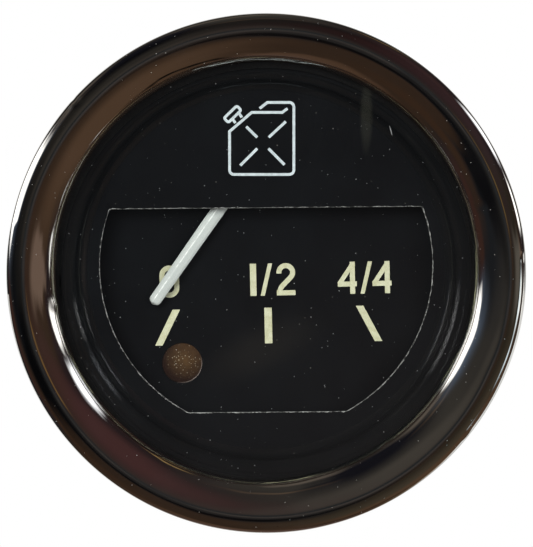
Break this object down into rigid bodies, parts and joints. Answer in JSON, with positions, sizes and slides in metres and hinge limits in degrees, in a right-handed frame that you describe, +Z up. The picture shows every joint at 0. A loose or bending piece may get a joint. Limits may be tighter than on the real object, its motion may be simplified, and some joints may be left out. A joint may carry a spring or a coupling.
{
  "type": "car fuel gauge",
  "caption": "Round panel-mounted car fuel gauge: chromed bezel, black masked dial with pointer and low-fuel lamp, moving-iron movement in a steel case.",
  "frame": {"origin": "centre of the bezel's back face, on the case axis, in the plane of the panel", "axes": "+Y along the case axis, away from the reader; +Z up the dial; +X to the reader's right"},
  "size_m": [0.06, 0.0597, 0.06],
  "materials": {
    "chrome_bezel": "polished",
    "clear_glass": "gloss",
    "gasket_rubber": "matte",
    "black_moulding": "gloss",
    "black_enamel": "satin",
    "white_ink": "matte",
    "cream_ink": "matte",
    "amber_lens": "gloss",
    "pointer_white": "satin",
    "turned_brass": "satin",
    "bright_steel": "satin",
    "soft_iron": "matte",
    "bobbin_moulding": "matte",
    "copper_wire": "satin",
    "zinc_plated_case": "satin",
    "phenolic_board": "satin",
    "white_moulding": "satin",
    "bulb_glass": "gloss"
  },
  "bodies": {
    "gauge_case": {"bezel": "chrome_bezel", "lens": "clear_glass", "lens_gasket": "gasket_rubber", "trim_ring": "black_moulding", "mask_plate": "black_enamel", "can_symbol": "white_ink", "dial_spacer": "black_moulding", "dial_plate": "black_enamel", "dial_print": "cream_ink", "dial_screws": "turned_brass", "warning_lens": "amber_lens", "stop_pins": "bright_steel", "movement_frame": "bright_steel", "front_bearing": "turned_brass", "rear_bridge": "turned_brass", "rear_bearing": "turned_brass", "bridge_pillars": "turned_brass", "bridge_screws": "bright_steel", "empty_coil_core": "soft_iron", "empty_coil_bobbin": "bobbin_moulding", "empty_coil_winding": "copper_wire", "full_coil_core": "soft_iron", "full_coil_bobbin": "bobbin_moulding", "full_coil_winding": "copper_wire", "coil_leads": "copper_wire", "frame_pillars": "bright_steel", "case_screws": "bright_steel", "case_shell": "zinc_plated_case", "terminal_board": "phenolic_board", "supply_terminal": "turned_brass", "sender_terminal": "turned_brass", "terminal_rivets": "turned_brass", "insulating_bushes": "phenolic_board", "solder_tags": "turned_brass", "earth_tab": "turned_brass", "mounting_studs": "bright_steel", "stud_washers": "bright_steel", "stud_nuts": "bright_steel", "light_tube": "white_moulding", "warning_lamp_holder": "zinc_plated_case", "warning_lamp_contact": "turned_brass", "warning_bulb_cap": "turned_brass", "warning_bulb_glass": "bulb_glass", "dial_lamp_holder": "zinc_plated_case", "dial_lamp_contact": "turned_brass", "dial_bulb_cap": "turned_brass", "dial_bulb_glass": "bulb_glass"},
    "pointer_assembly": {"pointer": "pointer_white", "pointer_hub": "turned_brass", "pointer_shaft": "bright_steel", "armature": "soft_iron", "balance_arm": "turned_brass", "counterweight": "turned_brass"}
  },
  "joints": [
    {"name": "pointer_sweep", "type": "hinge", "parent": "gauge_case", "child": "pointer_assembly", "pos_m": [0, 0.01, 0.0154], "axis": [0, -1, 0], "range_deg": [0, 70]}
  ]
}
